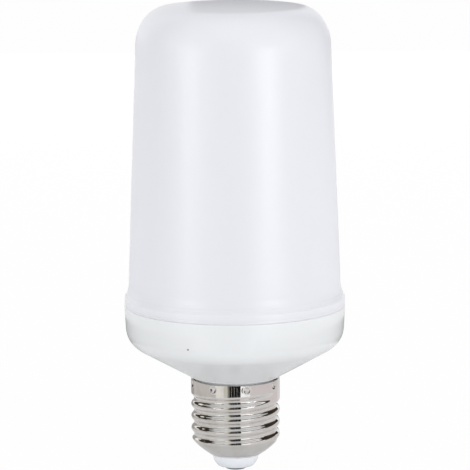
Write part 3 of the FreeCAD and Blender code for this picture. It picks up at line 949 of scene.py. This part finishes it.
def floor_material():
    """A pale floor that the camera sees as almost white, with a trace of the bulb's shadow."""
    material, shader = new_material("pale floor")
    tree = material.node_tree
    shader.inputs["Base Color"].default_value = (0.8, 0.8, 0.8, 1.0)
    shader.inputs["Roughness"].default_value = 0.9
    shader.inputs["Specular IOR Level"].default_value = 0.1
    glow = add_node(tree, "ShaderNodeEmission", {"Strength": 1.0})
    rays = tree.nodes.new("ShaderNodeLightPath")
    share = maths(tree, "MULTIPLY", rays.outputs["Is Camera Ray"], FLOOR_GLOW)
    mix = add_node(tree, "ShaderNodeMixShader", {0: share, 1: shader.outputs[0], 2: glow.outputs[0]})
    show(tree, mix.outputs[0])
    return material


def add_floor():
    mesh_data = bmesh.new()
    corners = [(-1, -1), (1, -1), (1, 1), (-1, 1)]
    mesh_data.faces.new([mesh_data.verts.new((x * FLOOR_HALF, y * FLOOR_HALF, FLOOR_Z)) for x, y in corners])
    floor = finish_mesh("floor", mesh_data)
    dress(floor, floor_material())


def white_world(ambient):
    """A world that is white to the eye and in reflections, and lights the bulb softly."""
    world = bpy.data.worlds.new("white studio")
    bpy.context.scene.world = world
    world.use_nodes = True
    tree = world.node_tree
    tree.nodes.clear()
    rays = tree.nodes.new("ShaderNodeLightPath")
    seen = maths(tree, "MAXIMUM", rays.outputs["Is Camera Ray"], rays.outputs["Is Glossy Ray"])
    seen = maths(tree, "MAXIMUM", seen, rays.outputs["Is Transmission Ray"])
    soft = add_node(tree, "ShaderNodeBackground", {"Color": WHITE, "Strength": ambient})
    plain = add_node(tree, "ShaderNodeBackground", {"Color": WHITE, "Strength": 1.0})
    mix = add_node(tree, "ShaderNodeMixShader", {0: seen, 1: soft.outputs[0], 2: plain.outputs[0]})
    output = tree.nodes.new("ShaderNodeOutputWorld")
    tree.links.new(mix.outputs[0], output.inputs["Surface"])


def add_camera(stage):
    """The camera in front, pitched down and leaning, with the sideways shift of the photo."""
    shift_px, picture_px = 0.63, 470
    data = bpy.data.cameras.new("camera")
    data.lens = stage.lens
    data.sensor_width = 36.0
    data.shift_x = shift_px / picture_px
    data.clip_start = 0.01
    camera = bpy.data.objects.new("camera", data)
    camera.location = (0.0, -stage.distance, stage.height)
    down = Matrix.Rotation(math.pi / 2 - stage.pitch, 3, "X")
    camera.rotation_euler = (down @ Matrix.Rotation(stage.roll, 3, "Z")).to_euler()
    bpy.context.scene.collection.objects.link(camera)
    return camera


class BULB_OT_stage(bpy.types.Operator):
    """Sets the floor, lamps, reflection cards and camera"""

    bl_idname = "bulb.stage"
    bl_label = "Studio"

    def execute(self, context):
        stage = context.scene.bulb_stage
        white_world(stage.ambient)
        add_floor()
        add_lamps(stage)
        for card in CARDS:
            studio_card(*card)
        context.scene.camera = add_camera(stage)
        context.scene.view_settings.view_transform = "Standard"
        return {"FINISHED"}


# Panel and registration


class BULB_PT_panel(bpy.types.Panel):
    """Lists the bulb's pieces and their settings"""

    bl_idname = "BULB_PT_panel"
    bl_label = "Flame effect bulb"
    bl_space_type = "VIEW_3D"
    bl_region_type = "UI"
    bl_category = "Bulb"

    def draw(self, context):
        for settings, group, operator in PANEL_ROWS:
            box = self.layout.box()
            box.operator(operator.bl_idname)
            for key in group.__annotations__:
                box.prop(getattr(context.scene, settings), key)


# Each row: the scene's name for the settings, their group and the operator that uses them
PANEL_ROWS = (
    ("bulb_cover", BULB_PG_cover, BULB_OT_cover),
    ("bulb_housing", BULB_PG_housing, BULB_OT_housing),
    ("bulb_cap", BULB_PG_cap, BULB_OT_cap),
    ("bulb_plug", BULB_PG_plug, BULB_OT_plug),
    ("bulb_inside", BULB_PG_inside, BULB_OT_inside),
    ("bulb_stage", BULB_PG_stage, BULB_OT_stage),
)
CLASSES = [row[1] for row in PANEL_ROWS] + [row[2] for row in PANEL_ROWS] + [BULB_PT_panel]


def register():
    for cls in CLASSES:
        bpy.utils.register_class(cls)
    for name, group, _ in PANEL_ROWS:
        setattr(bpy.types.Scene, name, bpy.props.PointerProperty(type=group))


def unregister():
    for name, _, _ in PANEL_ROWS:
        delattr(bpy.types.Scene, name)
    for cls in reversed(CLASSES):
        bpy.utils.unregister_class(cls)


def main():
    register()
    bpy.ops.bulb.cover()
    bpy.ops.bulb.housing()
    bpy.ops.bulb.cap()
    bpy.ops.bulb.plug()
    bpy.ops.bulb.inside()
    bpy.ops.bulb.stage()


if __name__ == "__main__":
    main()
